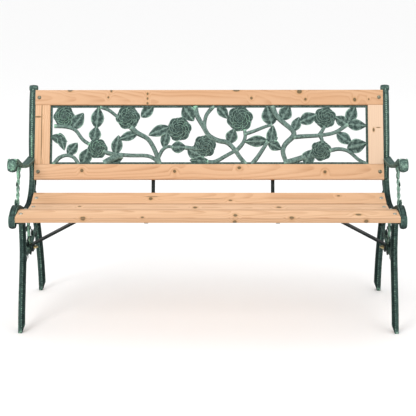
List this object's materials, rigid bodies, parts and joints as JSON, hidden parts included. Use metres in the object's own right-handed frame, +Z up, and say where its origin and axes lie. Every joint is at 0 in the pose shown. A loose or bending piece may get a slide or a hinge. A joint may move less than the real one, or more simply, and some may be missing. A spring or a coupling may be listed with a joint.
{
  "type": "garden bench",
  "caption": "Two-seat garden bench with scrolled cast-iron end frames, a dished timber slat seat and a reclined timber back around an openwork rose casting.",
  "frame": {"origin": "on the ground under the middle of the bench", "axes": "+Z up, the front of the bench faces -Y, +X towards the end frame on the right as seen from the front"},
  "size_m": [1.22, 0.51, 0.73],
  "materials": {
    "timber": "satin varnished softwood",
    "casting": "dark green paint with a pale verdigris wash on raised edges",
    "panel_casting": "dark green paint with a pale verdigris wash on raised detail",
    "bar_steel": "near-black green paint",
    "zinc": "bright zinc plate",
    "yellow_zinc": "yellow passivated zinc plate"
  },
  "bodies": {
    "root": {"back_left_stile": "timber", "back_lower_rail": "timber", "back_rail_bolts": "zinc", "back_rail_nuts": "zinc", "back_rail_washers": "zinc", "back_right_stile": "timber", "back_top_rail": "timber", "brace_bolts": "yellow_zinc", "brace_nuts": "yellow_zinc", "brace_screws": "zinc", "brace_washers": "yellow_zinc", "left_brace": "bar_steel", "left_end_frame": "casting", "left_support_strap": "bar_steel", "right_brace": "bar_steel", "right_end_frame": "casting", "right_support_strap": "bar_steel", "rose_panel": "panel_casting", "seat_slat_1": "timber", "seat_slat_2": "timber", "seat_slat_3": "timber", "seat_slat_4": "timber", "seat_slat_5": "timber", "seat_slat_bolts": "zinc", "seat_slat_nuts": "zinc", "seat_slat_washers": "zinc", "strap_screws": "zinc"}
  },
  "joints": []
}
